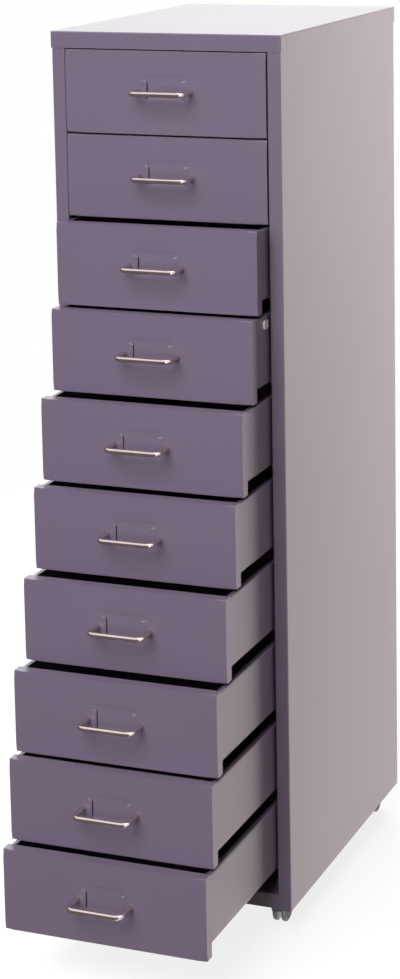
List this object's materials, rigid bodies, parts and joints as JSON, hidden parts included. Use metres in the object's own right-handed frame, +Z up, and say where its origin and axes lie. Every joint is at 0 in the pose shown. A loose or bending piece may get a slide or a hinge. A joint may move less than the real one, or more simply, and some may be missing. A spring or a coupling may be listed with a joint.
{
  "type": "drawer cabinet",
  "caption": "Tall narrow steel cabinet with a stack of sliding drawers, wire handles, pressed card holders and swivel castors.",
  "frame": {"origin": "on the floor, under the middle of the whole outline with the drawers as they stand", "axes": "+Z up, -Y towards the drawer fronts, +X to the right of someone facing the drawers"},
  "size_m": [0.28, 0.6554, 1.057],
  "materials": {
    "painted_steel": "satin powder coat",
    "bright_wire": "polished nickel plate",
    "zinc_steel": "zinc plated",
    "nylon": "matte",
    "castor_plastic": "semi gloss"
  },
  "bodies": {
    "carcass": {"top_panel": "painted_steel", "left_side_panel": "painted_steel", "right_side_panel": "painted_steel", "back_panel": "painted_steel", "base_pan": "painted_steel", "runners": "zinc_steel", "front_glides": "nylon", "castor_stems": "zinc_steel"},
    "drawer_01": {"drawer_01_front": "painted_steel", "drawer_01_tray": "painted_steel", "drawer_01_handle": "bright_wire", "drawer_01_sliders": "nylon"},
    "drawer_02": {"drawer_02_front": "painted_steel", "drawer_02_tray": "painted_steel", "drawer_02_handle": "bright_wire", "drawer_02_sliders": "nylon"},
    "drawer_03": {"drawer_03_front": "painted_steel", "drawer_03_tray": "painted_steel", "drawer_03_handle": "bright_wire", "drawer_03_sliders": "nylon"},
    "drawer_04": {"drawer_04_front": "painted_steel", "drawer_04_tray": "painted_steel", "drawer_04_handle": "bright_wire", "drawer_04_sliders": "nylon"},
    "drawer_05": {"drawer_05_front": "painted_steel", "drawer_05_tray": "painted_steel", "drawer_05_handle": "bright_wire", "drawer_05_sliders": "nylon"},
    "drawer_06": {"drawer_06_front": "painted_steel", "drawer_06_tray": "painted_steel", "drawer_06_handle": "bright_wire", "drawer_06_sliders": "nylon"},
    "drawer_07": {"drawer_07_front": "painted_steel", "drawer_07_tray": "painted_steel", "drawer_07_handle": "bright_wire", "drawer_07_sliders": "nylon"},
    "drawer_08": {"drawer_08_front": "painted_steel", "drawer_08_tray": "painted_steel", "drawer_08_handle": "bright_wire", "drawer_08_sliders": "nylon"},
    "drawer_09": {"drawer_09_front": "painted_steel", "drawer_09_tray": "painted_steel", "drawer_09_handle": "bright_wire", "drawer_09_sliders": "nylon"},
    "drawer_10": {"drawer_10_front": "painted_steel", "drawer_10_tray": "painted_steel", "drawer_10_handle": "bright_wire", "drawer_10_sliders": "nylon"},
    "front_left_castor": {"front_left_castor_housing": "castor_plastic", "front_left_castor_axle": "zinc_steel"},
    "front_left_castor_wheels": {"front_left_castor_wheels": "castor_plastic"},
    "front_right_castor": {"front_right_castor_housing": "castor_plastic", "front_right_castor_axle": "zinc_steel"},
    "front_right_castor_wheels": {"front_right_castor_wheels": "castor_plastic"},
    "rear_left_castor": {"rear_left_castor_housing": "castor_plastic", "rear_left_castor_axle": "zinc_steel"},
    "rear_left_castor_wheels": {"rear_left_castor_wheels": "castor_plastic"},
    "rear_right_castor": {"rear_right_castor_housing": "castor_plastic", "rear_right_castor_axle": "zinc_steel"},
    "rear_right_castor_wheels": {"rear_right_castor_wheels": "castor_plastic"}
  },
  "joints": [
    {"name": "drawer_01_slide", "type": "slide", "parent": "carcass", "child": "drawer_01", "axis": [0, -1, 0], "range_m": [0, 0.345]},
    {"name": "drawer_02_slide", "type": "slide", "parent": "carcass", "child": "drawer_02", "axis": [0, -1, 0], "range_m": [0, 0.345]},
    {"name": "drawer_03_slide", "type": "slide", "parent": "carcass", "child": "drawer_03", "axis": [0, -1, 0], "range_m": [-0.035, 0.31]},
    {"name": "drawer_04_slide", "type": "slide", "parent": "carcass", "child": "drawer_04", "axis": [0, -1, 0], "range_m": [-0.054, 0.291]},
    {"name": "drawer_05_slide", "type": "slide", "parent": "carcass", "child": "drawer_05", "axis": [0, -1, 0], "range_m": [-0.087, 0.258]},
    {"name": "drawer_06_slide", "type": "slide", "parent": "carcass", "child": "drawer_06", "axis": [0, -1, 0], "range_m": [-0.112, 0.233]},
    {"name": "drawer_07_slide", "type": "slide", "parent": "carcass", "child": "drawer_07", "axis": [0, -1, 0], "range_m": [-0.144, 0.201]},
    {"name": "drawer_08_slide", "type": "slide", "parent": "carcass", "child": "drawer_08", "axis": [0, -1, 0], "range_m": [-0.175, 0.17]},
    {"name": "drawer_09_slide", "type": "slide", "parent": "carcass", "child": "drawer_09", "axis": [0, -1, 0], "range_m": [-0.193, 0.152]},
    {"name": "drawer_10_slide", "type": "slide", "parent": "carcass", "child": "drawer_10", "axis": [0, -1, 0], "range_m": [-0.215, 0.13]},
    {"name": "front_left_castor_swivel", "type": "hinge", "parent": "carcass", "child": "front_left_castor", "pos_m": [-0.1125, -0.04695, 0.033], "axis": [0, 0, 1], "continuous": true},
    {"name": "front_left_castor_roll", "type": "hinge", "parent": "front_left_castor", "child": "front_left_castor_wheels", "pos_m": [-0.1125, -0.03795, 0.017], "axis": [1, 0, 0], "continuous": true},
    {"name": "front_right_castor_swivel", "type": "hinge", "parent": "carcass", "child": "front_right_castor", "pos_m": [0.1125, -0.04695, 0.033], "axis": [0, 0, 1], "continuous": true},
    {"name": "front_right_castor_roll", "type": "hinge", "parent": "front_right_castor", "child": "front_right_castor_wheels", "pos_m": [0.1125, -0.03795, 0.017], "axis": [1, 0, 0], "continuous": true},
    {"name": "rear_left_castor_swivel", "type": "hinge", "parent": "carcass", "child": "rear_left_castor", "pos_m": [-0.1125, 0.29245, 0.033], "axis": [0, 0, 1], "continuous": true},
    {"name": "rear_left_castor_roll", "type": "hinge", "parent": "rear_left_castor", "child": "rear_left_castor_wheels", "pos_m": [-0.1125, 0.30145, 0.017], "axis": [1, 0, 0], "continuous": true},
    {"name": "rear_right_castor_swivel", "type": "hinge", "parent": "carcass", "child": "rear_right_castor", "pos_m": [0.1125, 0.29245, 0.033], "axis": [0, 0, 1], "continuous": true},
    {"name": "rear_right_castor_roll", "type": "hinge", "parent": "rear_right_castor", "child": "rear_right_castor_wheels", "pos_m": [0.1125, 0.30145, 0.017], "axis": [1, 0, 0], "continuous": true}
  ]
}
